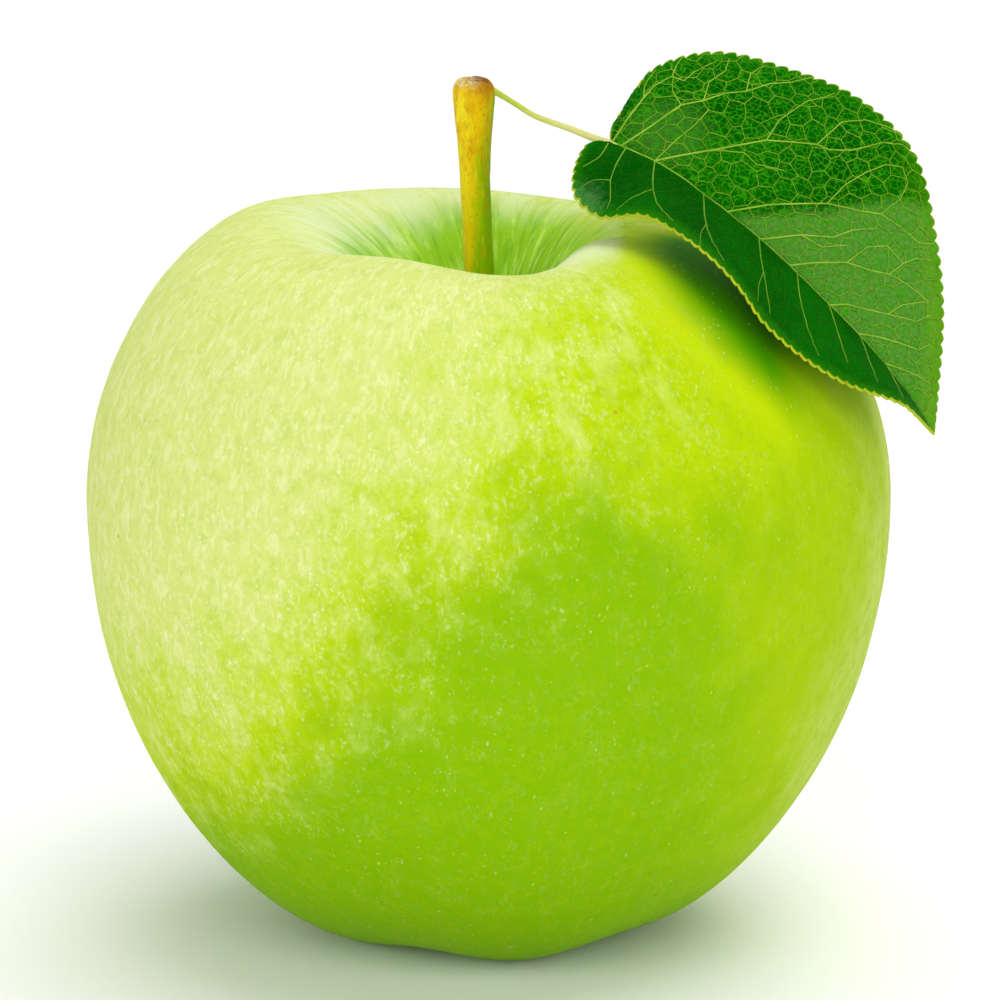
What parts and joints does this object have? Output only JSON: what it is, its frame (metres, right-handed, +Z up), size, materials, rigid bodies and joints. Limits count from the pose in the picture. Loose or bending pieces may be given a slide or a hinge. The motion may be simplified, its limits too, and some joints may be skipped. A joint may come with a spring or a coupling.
{
  "type": "green apple with stem and leaf",
  "caption": "Green eating apple, lopsided and low-lobed, with a flared woody stem and a saw-toothed leaf folded over its shoulder.",
  "frame": {"origin": "on the surface that the apple rests on, under the middle of the bounding box of fruit and leaf together; the fruit's own axis stands 2.8 mm towards -X", "axes": "+Z up along the fruit's axis from calyx to stem; the leaf hangs over the +X shoulder and leans out to -Y, which is the front"},
  "size_m": [0.0858, 0.0809, 0.089],
  "materials": {
    "skin": "waxy yellow-green apple skin, semi-gloss, speckled with pale lenticels",
    "stem": "ribbed ochre to green bark, with a rough red-brown broken head",
    "leaf_stalk": "pale yellow-green, fleshy, finely downy",
    "leaf": "living leaf: deep green, semi-gloss above with a net of pale veins, paler and downy below",
    "calyx": "dry brown withered sepals, papery and downy"
  },
  "bodies": {
    "root": {"fruit": "skin", "stem": "stem", "leaf_stalk": "leaf_stalk", "leaf_blade": "leaf", "calyx": "calyx"}
  },
  "joints": []
}
